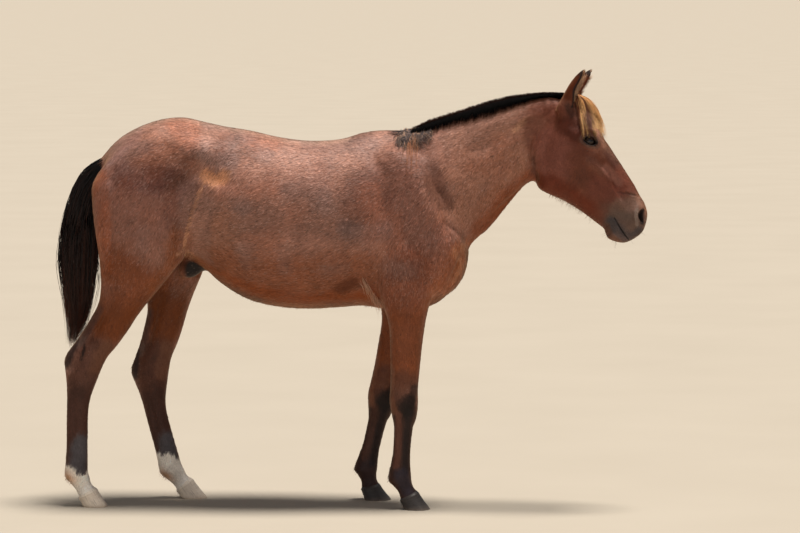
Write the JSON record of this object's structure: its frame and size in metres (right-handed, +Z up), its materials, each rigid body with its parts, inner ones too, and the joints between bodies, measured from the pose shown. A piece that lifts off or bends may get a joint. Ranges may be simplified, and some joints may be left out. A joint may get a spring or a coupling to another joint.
{
  "type": "life-size standing horse model",
  "caption": "Life-size still model of a young bay roan horse standing at ease, with a short dark mane, a forelock, a hanging tail and pale hind feet.",
  "frame": {"origin": "middle of the horse's outline seen from above, at the level of its soles", "axes": "+X toward the head, +Y toward the horse's left side, +Z up"},
  "size_m": [2.061, 0.47, 1.5221],
  "materials": {
    "coat": "short red-brown roan coat, satin sheen along the lie of the hair",
    "dark_leg": "short brown-black leg hair, satin",
    "white_sock": "short off-white hair, dusty, pink skin showing behind the fetlock",
    "hair": "coarse black mane and tail hair with reddish ends, soft gloss",
    "forelock_hair": "sun-bleached golden forelock over darker strands",
    "dark_horn": "slate-dark hoof horn with growth rings, dusty",
    "pale_horn": "pale striped hoof horn with growth rings, dusty",
    "eye": "wet dark brown eye with a level oval pupil"
  },
  "bodies": {
    "root": {"trunk": "coat", "neck": "coat", "head": "coat", "ear_left": "coat", "ear_right": "coat", "eye_left": "eye", "eye_right": "eye", "foreleg_left_forearm": "coat", "foreleg_left_cannon": "dark_leg", "foreleg_left_pastern": "dark_leg", "foreleg_right_forearm": "coat", "foreleg_right_cannon": "dark_leg", "foreleg_right_pastern": "dark_leg", "hindleg_left_thigh": "coat", "hindleg_left_gaskin": "coat", "hindleg_left_cannon": "dark_leg", "hindleg_left_pastern": "white_sock", "hindleg_right_thigh": "coat", "hindleg_right_gaskin": "coat", "hindleg_right_cannon": "dark_leg", "hindleg_right_pastern": "white_sock", "hoof_fore_left": "dark_horn", "hoof_fore_right": "dark_horn", "hoof_hind_left": "pale_horn", "hoof_hind_right": "pale_horn", "mane": "hair", "forelock": "forelock_hair", "tail": "hair"}
  },
  "joints": []
}
